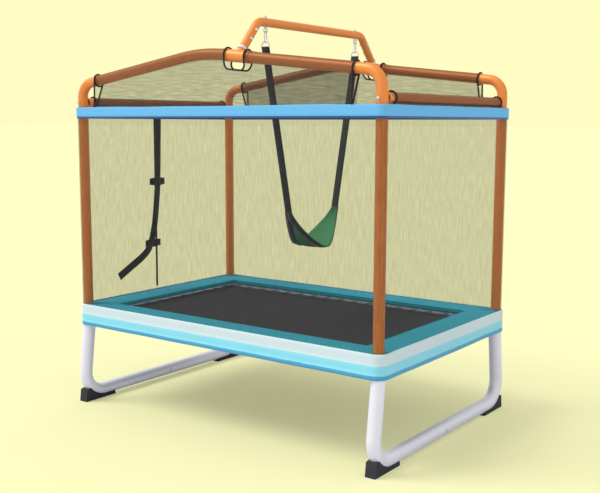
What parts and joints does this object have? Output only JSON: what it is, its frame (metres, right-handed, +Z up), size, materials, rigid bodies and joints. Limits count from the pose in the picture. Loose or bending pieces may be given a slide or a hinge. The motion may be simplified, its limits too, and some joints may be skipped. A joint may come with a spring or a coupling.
{
  "type": "trampoline",
  "caption": "Rectangular trampoline on bent steel legs with a padded bed, a net enclosure, arched top tubes and a sling swing hung from a raised beam.",
  "frame": {"origin": "on the floor, under the middle of the bed", "axes": "+X along the long side of the bed, +Y across it from the front side to the back, +Z up"},
  "size_m": [1.9135, 1.2845, 1.984],
  "materials": {
    "leg_paint": "white powder coat",
    "foot_rubber": "matt moulded rubber",
    "galvanised_steel": "galvanised",
    "zinc_steel": "bright zinc plate",
    "mat_cloth": "woven black jumping cloth",
    "pad_cover": "coated teal cloth over foam",
    "skirt_cloth": "coated light blue cloth with a pale stripe",
    "orange_paint": "orange powder coat",
    "bush_plastic": "white moulded plastic",
    "net_mesh": "fine black polyester mesh",
    "band_cloth": "blue woven cloth",
    "piping": "black corded piping",
    "black_webbing": "black woven webbing",
    "buckle_plastic": "black moulded plastic",
    "seat_cloth": "green woven sling cloth"
  },
  "bodies": {
    "root": {"base_leg_left_front": "leg_paint", "base_leg_left_back": "leg_paint", "base_leg_right_front": "leg_paint", "base_leg_right_back": "leg_paint", "leg_joiners": "galvanised_steel", "foot_left_front": "foot_rubber", "foot_left_back": "foot_rubber", "foot_right_front": "foot_rubber", "foot_right_back": "foot_rubber", "frame_rail_front": "galvanised_steel", "frame_rail_back": "galvanised_steel", "frame_rail_left": "galvanised_steel", "frame_rail_right": "galvanised_steel", "frame_corner_left_front": "galvanised_steel", "frame_corner_left_back": "galvanised_steel", "frame_corner_right_front": "galvanised_steel", "frame_corner_right_back": "galvanised_steel", "frame_bolts": "zinc_steel", "mat_springs": "zinc_steel", "spring_pad": "pad_cover", "pad_skirt": "skirt_cloth", "post_left_front": "orange_paint", "post_left_back": "orange_paint", "post_right_front": "orange_paint", "post_right_back": "orange_paint", "arch_front_left": "orange_paint", "arch_front_right": "orange_paint", "arch_back_left": "orange_paint", "arch_back_right": "orange_paint", "tee_front": "orange_paint", "tee_back": "orange_paint", "end_rail_left": "orange_paint", "end_rail_right": "orange_paint", "swing_beam": "orange_paint", "beam_bushes": "bush_plastic", "net_front": "net_mesh", "net_back": "net_mesh", "net_left": "net_mesh", "net_right": "net_mesh", "net_top_front": "net_mesh", "net_top_back": "net_mesh", "net_band": "band_cloth", "net_piping": "piping", "corner_ties": "piping", "door_zip": "black_webbing", "door_flap": "black_webbing", "buckle_sockets": "buckle_plastic", "eye_bolts": "zinc_steel"},
    "mat": {"jump_mat": "mat_cloth", "mat_rings": "zinc_steel"},
    "zip_slider": {"zip_slider": "zinc_steel"},
    "zip_pull": {"zip_pull": "buckle_plastic"},
    "buckle_upper": {"buckle_plug_upper": "buckle_plastic"},
    "buckle_lower": {"buckle_plug_lower": "buckle_plastic"},
    "links": {"swing_links": "zinc_steel"},
    "swing": {"swing_rings": "zinc_steel", "strap_front": "black_webbing", "strap_back": "black_webbing", "swing_seat": "seat_cloth"}
  },
  "joints": [
    {"name": "mat_bounce", "type": "slide", "parent": "root", "child": "mat", "axis": [0, 0, -1], "range_m": [0, 0.12], "stiffness_N_per_m": 9000, "deforming": ["mat_springs"]},
    {"name": "swing_links_hinge", "type": "hinge", "parent": "root", "child": "links", "pos_m": [0.148, 0, 1.9131], "axis": [0, 1, 0], "range_deg": [-32, 32]},
    {"name": "swing_hinge", "type": "hinge", "parent": "links", "child": "swing", "pos_m": [0.148, 0, 1.8611], "axis": [0, 1, 0], "range_deg": [-8, 8]},
    {"name": "zip_slide", "type": "slide", "parent": "root", "child": "zip_slider", "axis": [0, 0, 1], "range_m": [0, 0.88]},
    {"name": "zip_pull_swing", "type": "hinge", "parent": "zip_slider", "child": "zip_pull", "pos_m": [-0.9442, -0.035, 0.605], "axis": [1, 0, 0], "range_deg": [-40, 40]},
    {"name": "buckle_upper_release", "type": "slide", "parent": "root", "child": "buckle_upper", "axis": [0, -1, 0], "range_m": [0, 0.034]},
    {"name": "buckle_lower_release", "type": "slide", "parent": "root", "child": "buckle_lower", "axis": [0, -1, 0], "range_m": [0, 0.034]}
  ]
}
